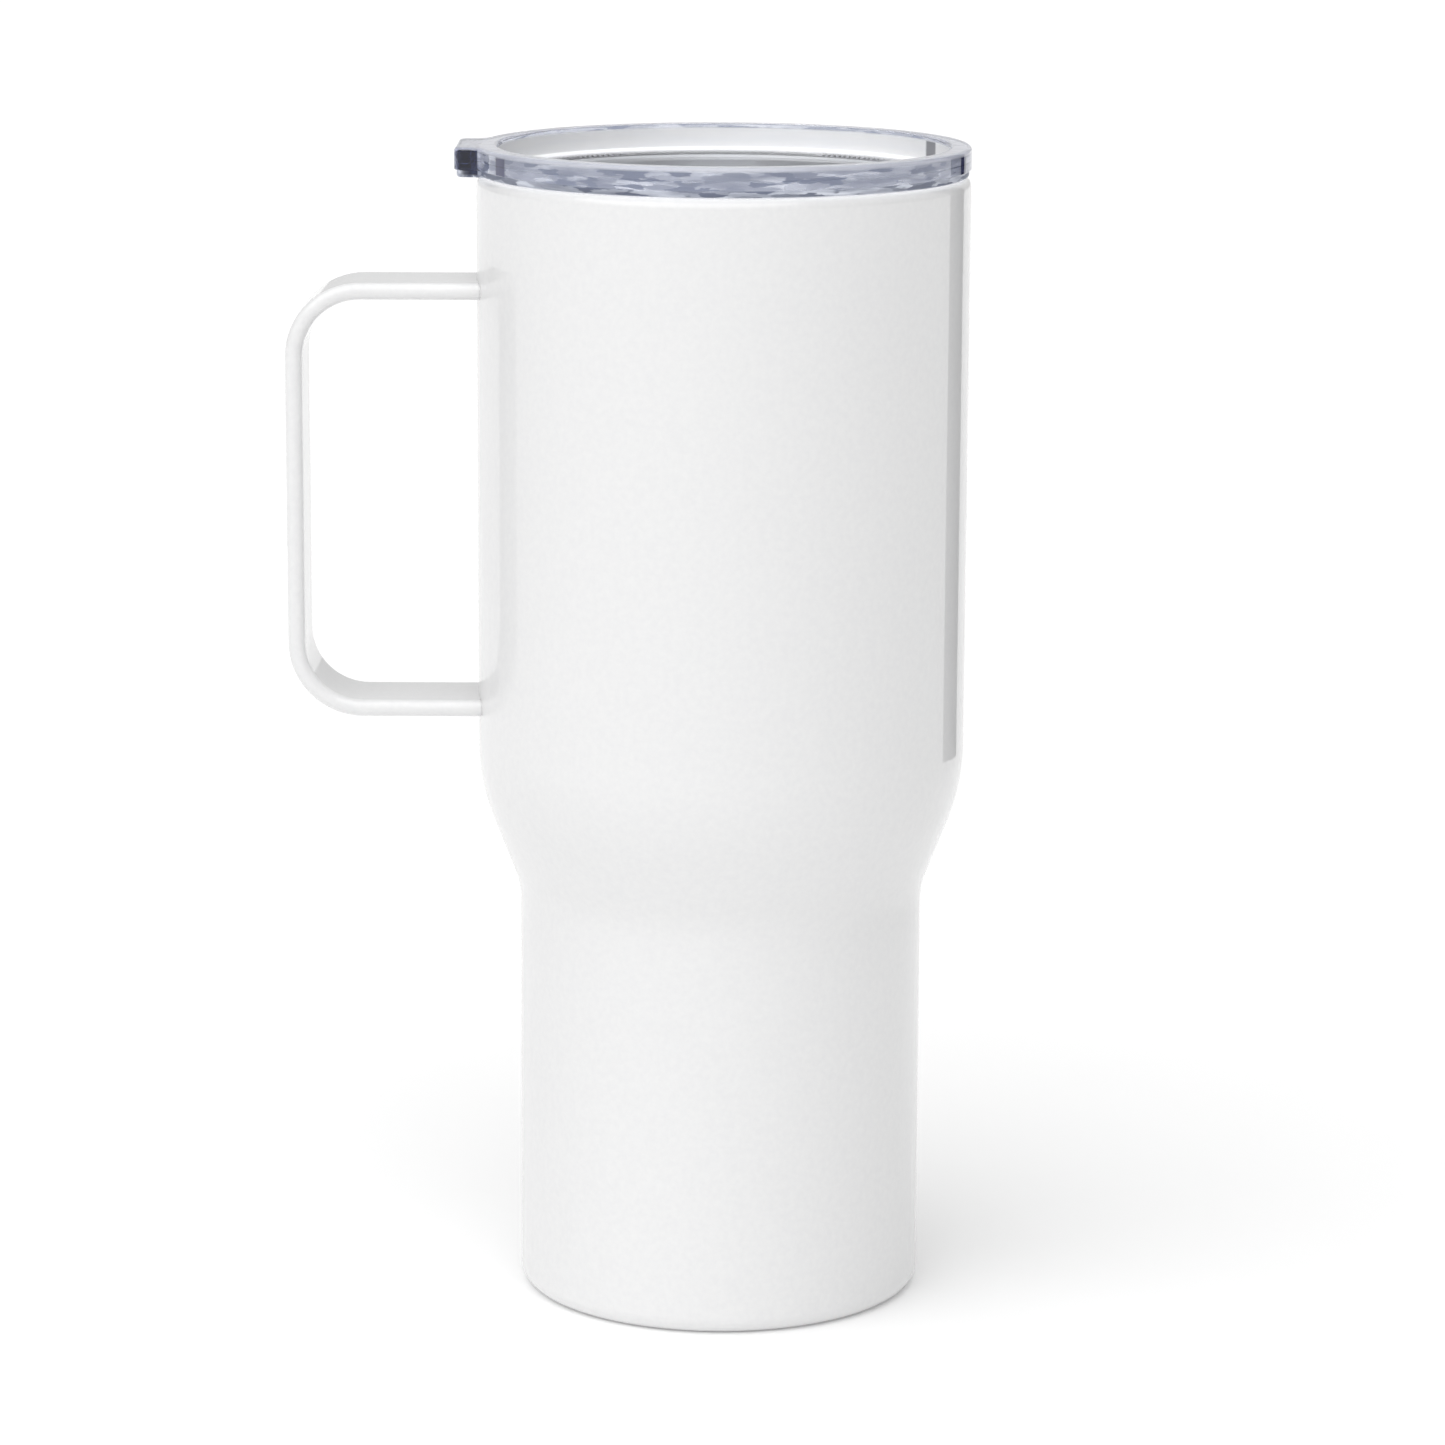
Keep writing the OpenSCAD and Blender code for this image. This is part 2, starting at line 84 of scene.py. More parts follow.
def add_piece(name, verts, faces, body, *nodes):
    """Makes a closed smooth-shaded mesh that stands for CAD nodes and rides on their body."""
    mesh = bpy.data.meshes.new(name)
    mesh.from_pydata([Vector(v) * MM for v in verts], [], faces)
    made = bmesh.new()
    made.from_mesh(mesh)
    bmesh.ops.recalc_face_normals(made, faces=made.faces)
    made.to_mesh(mesh)
    made.free()
    mesh.polygons.foreach_set("use_smooth", [True] * len(mesh.polygons))
    mesh.set_sharp_from_angle(angle=SHARP_ANGLE)
    piece = bpy.data.objects.new(name, mesh)
    bpy.context.scene.collection.objects.link(piece)
    even = piece.modifiers.new("even_normals", "WEIGHTED_NORMAL")
    even.keep_sharp = True
    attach(piece, body)
    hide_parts(*nodes)
    return piece


def lathe(name, outline, body, *nodes):
    """Turns a closed outline of (radius, height) points about the mug's axis."""
    verts, rings = [], []
    for r, z in outline:
        if r < ON_AXIS:
            rings.append([len(verts)] * LATHE_STEPS)
            verts.append((0, 0, z))
            continue
        rings.append(list(range(len(verts), len(verts) + LATHE_STEPS)))
        for i in range(LATHE_STEPS):
            a = 2 * math.pi * i / LATHE_STEPS
            verts.append((r * math.cos(a), r * math.sin(a), z))
    faces = []
    for k, ring in enumerate(rings):
        after = rings[(k + 1) % len(rings)]
        for i in range(LATHE_STEPS):
            j = (i + 1) % LATHE_STEPS
            corners = list(dict.fromkeys([ring[i], ring[j], after[j], after[i]]))
            if len(corners) > 2:
                faces.append(corners)
    return add_piece(name, verts, faces, body, *nodes)


def new_material(name):
    """A new node material, with its tree and its shader."""
    material = bpy.data.materials.new(name)
    material.use_nodes = True
    tree = material.node_tree
    shader = tree.nodes["Principled BSDF"]
    return material, tree, shader


def noise(tree, scale, detail=3.0):
    """Noise over the piece in its own coordinates, its features about 1 / scale metres wide."""
    place = tree.nodes.new("ShaderNodeTexCoord")
    texture = tree.nodes.new("ShaderNodeTexNoise")
    texture.inputs["Scale"].default_value = scale
    texture.inputs["Detail"].default_value = detail
    texture.inputs["Roughness"].default_value = NOISE_ROUGHNESS
    tree.links.new(place.outputs["Object"], texture.inputs["Vector"])
    return texture.outputs["Fac"]


def spread(tree, value, low, high, at_low=0.3, at_high=0.7):
    """Maps a value to a range, and holds it at the range's ends."""
    ranged = tree.nodes.new("ShaderNodeMapRange")
    ranged.inputs["From Min"].default_value = at_low
    ranged.inputs["From Max"].default_value = at_high
    ranged.inputs["To Min"].default_value = low
    ranged.inputs["To Max"].default_value = high
    tree.links.new(value, ranged.inputs["Value"])
    return ranged.outputs["Result"]


def blend_colours(tree, share, first, second):
    """Runs from the first colour to the second with share."""
    mix = tree.nodes.new("ShaderNodeMix")
    mix.data_type = "RGBA"
    mix.inputs["A"].default_value = (*first, 1)
    mix.inputs["B"].default_value = (*second, 1)
    tree.links.new(share, mix.inputs["Factor"])
    return mix.outputs["Result"]


def bump(tree, shader, height, distance, before=None):
    """Raises the surface by distance metres where height is 1."""
    node = tree.nodes.new("ShaderNodeBump")
    node.inputs["Distance"].default_value = distance
    node.inputs["Strength"].default_value = 1.0
    tree.links.new(height, node.inputs["Height"])
    if before:
        tree.links.new(before, node.inputs["Normal"])
    tree.links.new(node.outputs["Normal"], shader.inputs["Normal"])
    return node.outputs["Normal"]


def white_coat():
    """Gloss white coat: near white, with a faint mottle and orange peel."""
    material, tree, shader = new_material("white_coat")
    mottle = spread(tree, noise(tree, MOTTLE_SCALE), 0, 1)
    tree.links.new(blend_colours(tree, mottle, COAT_DARK, COAT_LIGHT), shader.inputs["Base Color"])
    tree.links.new(spread(tree, noise(tree, PATCH_SCALE), *COAT_ROUGHNESS), shader.inputs["Roughness"])
    shader.inputs["Specular IOR Level"].default_value = 0.3
    shader.inputs["Coat Weight"].default_value = 0.9
    shader.inputs["Coat Roughness"].default_value = 0.025
    peel = bump(tree, shader, noise(tree, PEEL_SCALE, 2), PEEL_DEPTH)
    bump(tree, shader, noise(tree, GRAIN_SCALE, 2), GRAIN_DEPTH, before=peel)
    return material


coat = white_coat()
base_centre = (LOWER_R - BASE_EDGE_R, BASE_EDGE_R)
rim_centre = (UPPER_R - RIM_EDGE_R, RIM_Z - RIM_EDGE_R)
shell_outline = (
    [(BASE_OPENING_R + BASE_GROOVE, 0)]
    + arc(base_centre, BASE_EDGE_R, -90, 0)
    + body_curve(0)
    + arc(rim_centre, RIM_EDGE_R, 0, 90)
    + [(MOUTH_WELD_R, RIM_Z), (MOUTH_WELD_R, RIM_Z - SHELL_T)]
    + arc(rim_centre, RIM_EDGE_R - SHELL_T, 90, 0)
    + body_curve(SHELL_T)[::-1]
    + arc(base_centre, BASE_EDGE_R - SHELL_T, 0, -90)
    + [(BASE_OPENING_R, SHELL_T), (BASE_OPENING_R, BASE_GROOVE)]
)
shell = lathe("outer_shell_coated", shell_outline, "mug", "outer_shell")
shell.data.materials.append(coat)


# ---- Liner ----
# The inner wall is a drawn tube of bare stainless steel, flared at the mouth to meet the shell,
# with a pressed cup welded to it edge to edge as its floor. The inside is spun with an abrasive
# pad, which leaves fine lines round it.
LINER_T, LINER_IN = 0.7, 4.2
MOUTH_R, MOUTH_EDGE_R = 39.2, 1.2
LINER_FLOOR_Z, LINER_CORNER_R, LINER_WELD_Z = 9.0, 6.0, 17.0
CORNER_STEPS = 14
LINE_STRETCH, LINE_DEPTH = 1.6, 0.000005


def around(tree):
    """Coordinates that run round the axis, as (angle, height, radius)."""
    place = tree.nodes.new("ShaderNodeTexCoord")
    parts = tree.nodes.new("ShaderNodeSeparateXYZ")
    tree.links.new(place.outputs["Object"], parts.inputs["Vector"])
    angle = tree.nodes.new("ShaderNodeMath")
    angle.operation = "ARCTAN2"
    tree.links.new(parts.outputs["Y"], angle.inputs[0])
    tree.links.new(parts.outputs["X"], angle.inputs[1])
    flat = tree.nodes.new("ShaderNodeVectorMath")
    flat.operation = "LENGTH"
    level = tree.nodes.new("ShaderNodeVectorMath")
    level.operation = "MULTIPLY"
    level.inputs[1].default_value = (1, 1, 0)
    tree.links.new(place.outputs["Object"], level.inputs[0])
    tree.links.new(level.outputs["Vector"], flat.inputs[0])
    place_round = tree.nodes.new("ShaderNodeCombineXYZ")
    tree.links.new(angle.outputs["Value"], place_round.inputs["X"])
    tree.links.new(parts.outputs["Z"], place_round.inputs["Y"])
    tree.links.new(flat.outputs["Value"], place_round.inputs["Z"])
    return place_round.outputs["Vector"]


def ring_noise(tree, stretch, detail=4.0):
    """Noise drawn out round the axis, as spinning and polishing leave it."""
    mapping = tree.nodes.new("ShaderNodeMapping")
    mapping.inputs["Scale"].default_value = stretch
    tree.links.new(around(tree), mapping.inputs["Vector"])
    texture = tree.nodes.new("ShaderNodeTexNoise")
    texture.inputs["Scale"].default_value = 1.0
    texture.inputs["Detail"].default_value = detail
    tree.links.new(mapping.outputs["Vector"], texture.inputs["Vector"])
    return texture.outputs["Fac"]


def spun_steel(name, dark, light, low_rough, high_rough, line_scale):
    """Stainless steel with fine lines round the axis."""
    material, tree, shader = new_material(name)
    lines = ring_noise(tree, (LINE_STRETCH, line_scale, line_scale))
    tree.links.new(blend_colours(tree, spread(tree, lines, 0, 1), dark, light),
                   shader.inputs["Base Color"])
    tree.links.new(spread(tree, lines, low_rough, high_rough), shader.inputs["Roughness"])
    shader.inputs["Metallic"].default_value = 1.0
    shader.inputs["Anisotropic"].default_value = 0.5
    bump(tree, shader, lines, LINE_DEPTH)
    return material


brushed = spun_steel("brushed_steel", dark=(0.84, 0.84, 0.83), light=(0.93, 0.93, 0.92),
                     low_rough=0.32, high_rough=0.44, line_scale=5200)
mouth_centre = (MOUTH_R + MOUTH_EDGE_R, RIM_Z - MOUTH_EDGE_R)
liner_outline = (
    [(LOWER_R - LINER_IN, LINER_WELD_Z)]
    + body_curve(LINER_IN)
    + arc(mouth_centre, MOUTH_EDGE_R, 180, 90)
    + [(MOUTH_WELD_R, RIM_Z), (MOUTH_WELD_R, RIM_Z - LINER_T)]
    + arc(mouth_centre, MOUTH_EDGE_R - LINER_T, 90, 180)
    + body_curve(LINER_IN - LINER_T)[::-1]
    + [(LOWER_R - LINER_IN + LINER_T, LINER_WELD_Z)]
)
liner = lathe("liner_wall_spun", liner_outline, "mug", "liner_wall")
liner.data.materials.append(brushed)

cup_in_r = LOWER_R - LINER_IN
corner = (cup_in_r - LINER_CORNER_R, LINER_FLOOR_Z + LINER_CORNER_R)
bottom_outline = (
    [(0, LINER_FLOOR_Z)]
    + arc(corner, LINER_CORNER_R, -90, 0, CORNER_STEPS)
    + [(cup_in_r, LINER_WELD_Z), (cup_in_r + LINER_T, LINER_WELD_Z)]
    + arc(corner, LINER_CORNER_R + LINER_T, 0, -90, CORNER_STEPS)
    + [(0, LINER_FLOOR_Z - LINER_T)]
)
liner_cup = lathe("liner_bottom_pressed", bottom_outline, "mug", "liner_bottom")
liner_cup.data.materials.append(brushed)


# ---- Base cap ----
# A flat disc of stainless steel that the mug stands on, pressed with a shallow turned-up edge and
# let in flush with the shell's rolled edge, so that only a fine groove shows round it.
PLATE_T, CAP_TOP_Z = 0.8, 3.6
cap_outline = [
    (0, 0), (BASE_OPENING_R - BASE_GROOVE, 0), (BASE_OPENING_R, BASE_GROOVE),
    (BASE_OPENING_R, CAP_TOP_Z), (BASE_OPENING_R - PLATE_T, CAP_TOP_Z),
    (BASE_OPENING_R - PLATE_T, PLATE_T), (0, PLATE_T),
]
cap = lathe("base_cap_turned", cap_outline, "mug", "base_cap")
turned = spun_steel("turned_steel", dark=(0.45, 0.45, 0.45), light=(0.62, 0.62, 0.61),
                    low_rough=0.25, high_rough=0.42, line_scale=2600)
cap.data.materials.append(turned)


# ---- Handle ----
# A flat steel bar with full round edges, bent to a C and welded edge-on to the shell before both
# are coated together. The weld is dressed flush, which leaves a hairline where they meet.
BAR_W, BAR_T = 18.6, 3.0
BAR_REACH, BEND_R = 31.8, 11.7
ARM_DROP, HANDLE_H = 19.9, 74.2
EDGE_STEPS, BEND_STEPS = 10, 16
SEAM_DEPTH, SEAM_L, SEAM_RUN, SINK = 0.12, 0.2, 0.25, 0.15


def bar_section(thin=0.0):
    """Points round the bar as (across, outward), its flat sides facing out and in."""
    half, r = (BAR_W - BAR_T) / 2, BAR_T / 2 - thin
    right = [(half + x, y) for x, y in arc((0, 0), r, -90, 90, EDGE_STEPS)]
    left = [(-half + x, y) for x, y in arc((0, 0), r, 90, 270, EDGE_STEPS)]
    return right + left


def handle_path():
    """The bar's middle line as (x, z, angle of its outward side), from the lower arm up."""
    grip_x = -UPPER_R - BAR_REACH
    top_z = RIM_Z - ARM_DROP
    low_z = top_z - HANDLE_H
    bend_x = grip_x + BEND_R
    lower = arc((bend_x, low_z + BEND_R), BEND_R, 270, 180, BEND_STEPS)
    upper = arc((bend_x, top_z - BEND_R), BEND_R, 180, 90, BEND_STEPS)
    angles = [start - 90 * i / BEND_STEPS for start in (270, 180) for i in range(BEND_STEPS + 1)]
    return [(x, z, math.radians(a)) for (x, z), a in zip(lower + upper, angles)]


def handle_mesh():
    """The bent bar, with a groove round each end where it meets the shell."""
    rings = []
    path = handle_path()
    near_body = [(SEAM_L + SEAM_RUN, 0.0), (SEAM_L, 0.0), (SEAM_L / 2, SEAM_DEPTH), (-SINK, SEAM_DEPTH)]

    def arm_rings(z, angle):
        made = []
        for gap, thin in near_body:
            made.append([(-math.sqrt((UPPER_R + gap) ** 2 - y * y), y, z + out * math.sin(angle))
                         for y, out in bar_section(thin)])
        return made

    for x, z, angle in path:
        rings.append([(x + out * math.cos(angle), y, z + out * math.sin(angle))
                      for y, out in bar_section()])
    low, high = path[0], path[-1]
    rings = arm_rings(low[1], low[2])[::-1] + rings + arm_rings(high[1], high[2])
    count = len(rings[0])
    verts = [v for ring in rings for v in ring]
    faces = [(k * count + i, k * count + (i + 1) % count,
              (k + 1) * count + (i + 1) % count, (k + 1) * count + i)
             for k in range(len(rings) - 1) for i in range(count)]
    faces.append(list(range(count)))
    faces.append(list(range((len(rings) - 1) * count, len(rings) * count)))
    return verts, faces


handle = add_piece("handle_coated", *handle_mesh(), "mug", "handle")
handle.data.materials.append(coat)


# ---- Lid ----
# One clear moulding: a heavy ring on the rim, a thumb tab over the handle, and a deep plug with a
# floor, where the drinking slot and the slider's guide slit are one opening. Thick plastic traps
# light, and what it shows is painted into the material: slate patches of painted light and shade
# on the side, a navy painted shade on the tab's end, a milky white of painted light on the recess
# wall and the lip under the ring, and narrow dark upright marks of painted shade.
RING_BOTTOM, RING_TOP = 201.3, 206.5
RING_W, RING_EDGE_R = 3.8, 0.7
LIP_H, LIP_STEP = 1.3, 0.45
RING_DEPTH, SLOPE_H = 4.3, 0.8
PLUG_R, PLUG_IN_R, PLUG_BOTTOM = 38.6, 36.6, 190.2
FLOOR_Z, FLOOR_BOTTOM, FLOOR_BLEND_R = 193.2, 191.2, 0.8
GROOVE_Z, GROOVE_H, GROOVE_R = 192.2, 3.0, 37.5
TAB_HALF_W, TAB_REACH, TAB_CORNER_R, TAB_BLEND_R = 9.4, 3.5, 2.0, 3.0
SLOT_W, SLOT_L, SLOT_Y = 18.0, 6.5, -32.4
SLIT_W, SLIT_END_Y = 4.5, -9.4
SEARCH_STEP, HALVINGS = 0.1, 24  # how the edge of the floor's opening is found


def ring_outline(inset):
    """The ring and tab in plan, set in from the outside, from the tab's middle round by +Y."""
    tab_x = -UPPER_R - TAB_REACH
    corner_mid = (tab_x + TAB_CORNER_R, TAB_HALF_W - TAB_CORNER_R)
    off_y = TAB_HALF_W + TAB_BLEND_R
    off_x = -math.sqrt((UPPER_R + TAB_BLEND_R) ** 2 - off_y ** 2)
    turn = math.degrees(math.atan2(off_y, -off_x))
    half = [(tab_x + inset, corner_mid[1] * i / 4) for i in range(4)]
    half += arc(corner_mid, TAB_CORNER_R - inset, 180, 90, 8)
    half += arc((off_x, off_y), TAB_BLEND_R + inset, -90, -turn, 8)
    half += arc((0, 0), UPPER_R - inset, 180 - turn, 0, 124)[1:]
    return half + [(x, -y) for x, y in half[-2:0:-1]]


def on_circle(r):
    """A circle with one point for each point of the ring's outline, at the same angle."""
    angles = [math.atan2(y, x) for x, y in ring_outline(0)]
    return [(r * math.cos(a), r * math.sin(a)) for a in angles]


def slot_reach(mid, a):
    """How far the floor's opening reaches from mid, a point inside the slot, at an angle."""
    def inside(d):
        x, y = mid[0] + d * math.cos(a), mid[1] + d * math.sin(a)
        core = max(abs(x) - (SLOT_W - SLOT_L) / 2, 0)
        in_slot = math.hypot(core, y - SLOT_Y - SLOT_L / 2) < SLOT_L / 2
        return in_slot or (abs(x) < SLIT_W / 2 and SLOT_Y + SLOT_L / 2 < y < SLIT_END_Y)
    far = next(i * SEARCH_STEP for i in range(1, 300) if not inside(i * SEARCH_STEP))
    near = far - SEARCH_STEP
    for _ in range(HALVINGS):
        half = (near + far) / 2
        near, far = (half, far) if inside(half) else (near, half)
    return near


def slot_loop():
    """The edge of the floor's opening, a point for each point of the ring's outline."""
    mid = (0.0, SLOT_Y + SLOT_L / 2)
    loop = []
    for x, y in on_circle(PLUG_IN_R - FLOOR_BLEND_R):
        a = math.atan2(y - mid[1], x - mid[0])
        d = slot_reach(mid, a)
        loop.append((mid[0] + d * math.cos(a), mid[1] + d * math.sin(a)))
    return loop


def lid_loops():
    """The lid's section from the rim's seat outward and over, as loops of (x, y, z)."""
    loops = [(on_circle(PLUG_R), RING_BOTTOM)]
    loops += [(ring_outline(x), z)
              for x, z in arc((LIP_STEP * 2, RING_BOTTOM + LIP_STEP), LIP_STEP, -90, -180, 4)]
    shoulder_z = RING_BOTTOM + LIP_H
    loops += [(ring_outline(LIP_STEP), shoulder_z - 0.1), (ring_outline(LIP_STEP - 0.1), shoulder_z),
              (ring_outline(0.12), shoulder_z), (ring_outline(0), shoulder_z + 0.12)]
    edge = arc((RING_EDGE_R, RING_TOP - RING_EDGE_R), RING_EDGE_R, 180, 90, 6)
    loops += [(ring_outline(x), z) for x, z in edge]
    inner_r, step_z = UPPER_R - RING_W, RING_TOP - RING_DEPTH
    section = arc((inner_r + RING_EDGE_R, RING_TOP - RING_EDGE_R), RING_EDGE_R, 90, 180, 6)
    section += [(inner_r, step_z + 0.2), (inner_r - 0.2, step_z),
                (PLUG_IN_R + 0.2, step_z - SLOPE_H), (PLUG_IN_R, step_z - SLOPE_H - 0.2)]
    section += arc((PLUG_IN_R - FLOOR_BLEND_R, FLOOR_Z + FLOOR_BLEND_R), FLOOR_BLEND_R, 0, -90, 6)
    loops += [(on_circle(r), z) for r, z in section]
    loops += [(slot_loop(), FLOOR_Z), (slot_loop(), FLOOR_BOTTOM)]
    foot_r = (PLUG_R - PLUG_IN_R) / 4
    section = [(PLUG_IN_R, FLOOR_BOTTOM)]
    section += arc((PLUG_IN_R + foot_r, PLUG_BOTTOM + foot_r), foot_r, 180, 270, 4)
    section += arc((PLUG_R - foot_r, PLUG_BOTTOM + foot_r), foot_r, -90, 0, 4)
    section += [(PLUG_R, GROOVE_Z), (GROOVE_R, GROOVE_Z), (GROOVE_R, GROOVE_Z + GROOVE_H),
                (PLUG_R, GROOVE_Z + GROOVE_H)]
    loops += [(on_circle(r), z) for r, z in section]
    return [[(x, y, z) for x, y in loop] for loop, z in loops]


def closed_skin(loops):
    """Skins a run of loops that ends where it begins."""
    count = len(loops[0])
    verts = [v for loop in loops for v in loop]
    faces = []
    for k in range(len(loops)):
        after = (k + 1) % len(loops)
        for i in range(count):
            j = (i + 1) % count
            faces.append((k * count + i, k * count + j, after * count + j, after * count + i))
    return verts, faces


def above(tree, value, limit, soft=0.1):
    """Rises from 0 to 1 as a length passes a limit. The limit is in millimetres."""
    return spread(tree, value, 0, 1, (limit - soft) * MM, (limit + soft) * MM)


def below(tree, value, limit, soft=0.1):
    """Falls from 1 to 0 as a length passes a limit. The limit is in millimetres."""
    return spread(tree, value, 1, 0, (limit - soft) * MM, (limit + soft) * MM)


def folded(tree, operation, values):
    """Folds some values, each a number or an output, with one kind of Math node."""
    result = values[0]
    for value in values[1:]:
        node = tree.nodes.new("ShaderNodeMath")
        node.operation = operation
        for socket, source in zip(node.inputs, (result, value)):
            if isinstance(source, float):
                socket.default_value = source
            else:
                tree.links.new(source, socket)
        result = node.outputs["Value"]
    return result


def times(tree, *values):
    return folded(tree, "MULTIPLY", values)


def plus(tree, *values):
    return folded(tree, "ADD", values)


def distance_to(tree, value, mark):
    """How far a value is from a number, on either side."""
    node = tree.nodes.new("ShaderNodeMath")
    node.operation = "ABSOLUTE"
    tree.links.new(folded(tree, "SUBTRACT", [value, float(mark)]), node.inputs[0])
    return node.outputs["Value"]


def place_of(tree):
    """A surface point's x, y, height and distance from the axis."""
    place = tree.nodes.new("ShaderNodeTexCoord")
    parts = tree.nodes.new("ShaderNodeSeparateXYZ")
    tree.links.new(place.outputs["Object"], parts.inputs["Vector"])
    rings = tree.nodes.new("ShaderNodeSeparateXYZ")
    tree.links.new(around(tree), rings.inputs["Vector"])
    return parts.outputs["X"], parts.outputs["Y"], parts.outputs["Z"], rings.outputs["Z"]


def mixed(tree, share, first, second):
    """Runs from one colour output to another with share."""
    mix = tree.nodes.new("ShaderNodeMix")
    mix.data_type = "RGBA"
    tree.links.new(first, mix.inputs["A"])
    tree.links.new(second, mix.inputs["B"])
    tree.links.new(share, mix.inputs["Factor"])
    return mix.outputs["Result"]


CLEAR_TINT, CLEAR_LIGHT = (0.955, 0.965, 0.985), (0.985, 0.988, 0.992)
# The ring side's slate colours are painted light and shade, for the light that thick plastic traps.
SIDE_PAINTED_SHADE, SIDE_PAINTED_LIGHT = (0.12, 0.14, 0.21), (0.70, 0.73, 0.81)
PLASTIC_TINT, PLASTIC_DENSITY, PLASTIC_IOR = (0.15, 0.20, 0.62, 1), 16, 1.54
# The tab end's navy is painted shade, for what shows dark through the thick tab.
TAB_PAINTED_SHADE_DEEP, TAB_PAINTED_SHADE_PALE = (0.001, 0.002, 0.012), (0.004, 0.007, 0.03)
# The colour of the dark upright marks, which are painted shade.
MARK_PAINTED_SHADE = (0.008, 0.009, 0.035)
SIDE_IN_R, SIDE_TOP = UPPER_R - 0.6, RING_TOP - RING_EDGE_R
# A line of painted light runs round the ring at this height, and the painted patches are plainer above
# it.
PAINTED_LINE_Z, PAINTED_LINE_WIDTH = 204.25, (0.06, 0.18)  # the ring looks plainer above this height
WALL_OUT_R = UPPER_R - RING_W + 0.4
RECESS_STEP_Z = 201.8
LIP_TOP = RING_BOTTOM + LIP_H - 0.1
# The lip and the recess wall are painted a milky white, as painted light for the white that shows
# through them.
LIP_PAINTED_LIGHT, WALL_PAINTED_LIGHT = 0.5, 0.93
SOFT_ROUGHNESS, GLOSS_ROUGHNESS = 0.40, 0.035
FLOW_STRETCH = (3.5, 900, 900)
PATCH_STRETCH, PATCH_DRIFT, PATCH_EDGE = (10, 1300, 1300), 1.6, 0.1
WAVE_SCALE, WAVE_DEPTH, FLOW_DEPTH = 170, 0.000025, 0.000006
MARK_TOP = SIDE_TOP - 0.05
# Dark upright marks of painted shade, in the ring's side and the recess wall.
UPRIGHT_SHADE_MARKS = [  # angle from +X in degrees, half width in radians, radii, lowest height, strength
    (-17.6, 0.040, 42.5, 44.1, 202.6, 1.0),
    (-152.2, 0.042, 42.5, 44.1, 202.6, 1.0),
    (21.6, 0.052, 39.0, 40.1, 202.2, 0.72),
]


def upright_shade_marks(tree, r, z):
    """Narrow dark upright marks of painted shade, two in the ring's side and one in the recess wall."""
    parts = tree.nodes.new("ShaderNodeSeparateXYZ")
    tree.links.new(around(tree), parts.inputs["Vector"])
    marks = []
    for at, half_width, in_r, out_r, low, strength in UPRIGHT_SHADE_MARKS:
        off = distance_to(tree, parts.outputs["X"], math.radians(at))
        across = spread(tree, off, 1, 0, half_width * 0.85, half_width * 1.15)
        marks.append(times(tree, across, above(tree, r, in_r), below(tree, r, out_r),
                           above(tree, z, low), below(tree, z, MARK_TOP, 0.15), strength))
    return folded(tree, "MAXIMUM", marks)


def trapped_light(tree):
    """Patches of painted light and shade, as a thick clear ring breaks up what is behind it."""
    mapping = tree.nodes.new("ShaderNodeMapping")
    mapping.inputs["Scale"].default_value = PATCH_STRETCH
    bent = tree.nodes.new("ShaderNodeVectorMath")
    bent.operation = "ADD"
    drift = tree.nodes.new("ShaderNodeTexNoise")
    drift.inputs["Scale"].default_value = PATCH_DRIFT
    drift.inputs["Detail"].default_value = 3
    tree.links.new(around(tree), mapping.inputs["Vector"])
    tree.links.new(mapping.outputs["Vector"], drift.inputs["Vector"])
    tree.links.new(mapping.outputs["Vector"], bent.inputs[0])
    tree.links.new(drift.outputs["Color"], bent.inputs[1])
    cells = tree.nodes.new("ShaderNodeTexVoronoi")
    cells.feature = "SMOOTH_F1"
    cells.inputs["Scale"].default_value = 1.0
    cells.inputs["Smoothness"].default_value = PATCH_EDGE
    cells.inputs["Randomness"].default_value = 0.9
    tree.links.new(bent.outputs["Vector"], cells.inputs["Vector"])
    parts = tree.nodes.new("ShaderNodeSeparateColor")
    tree.links.new(cells.outputs["Color"], parts.inputs["Color"])
    return parts.outputs["Red"]


def lid_masks(tree, x, y, z, r):
    """Where the ring's side, the tab's ends, the lip under the ring and the recess wall are."""
    side = times(tree, above(tree, r, SIDE_IN_R), above(tree, z, RING_BOTTOM),
                 below(tree, z, SIDE_TOP, 0.2))
    tab = times(tree, below(tree, x, -UPPER_R + 0.7),
                above(tree, distance_to(tree, y, 0), TAB_HALF_W - 0.6, 0.2),
                above(tree, z, RING_BOTTOM + 0.4, 0.2), below(tree, z, RING_TOP - 0.35, 0.15))
    lip = times(tree, above(tree, r, PLUG_R + 0.2), below(tree, z, LIP_TOP, 0.05),
                above(tree, z, RING_BOTTOM - 0.3))
    wall = times(tree, below(tree, r, WALL_OUT_R), above(tree, r, PLUG_IN_R - 0.1),
                 above(tree, z, RECESS_STEP_Z, 0.3), below(tree, z, SIDE_TOP, 0.2))
    return side, tab, lip, wall


def lid_colour(tree, flow, patches, side, tab, marks):
    """Clear, with the side's slate patches of painted light and shade, the tab's navy painted shade and
    the dark marks of painted shade laid over.
    """
    light = times(tree, spread(tree, flow, 0.3, 1, 0.36, 0.64), spread(tree, patches, 0, 1, 0.2, 0.8))
    streaks = spread(tree, flow, 0, 1)
    colour = mixed(tree, side, blend_colours(tree, streaks, CLEAR_TINT, CLEAR_LIGHT),
                   blend_colours(tree, light, SIDE_PAINTED_SHADE, SIDE_PAINTED_LIGHT))
    colour = mixed(tree, tab, colour, blend_colours(tree, streaks, TAB_PAINTED_SHADE_DEEP, TAB_PAINTED_SHADE_PALE))
    mark = tree.nodes.new("ShaderNodeRGB")
    mark.outputs["Color"].default_value = (*MARK_PAINTED_SHADE, 1)
    return mixed(tree, marks, colour, mark.outputs["Color"])


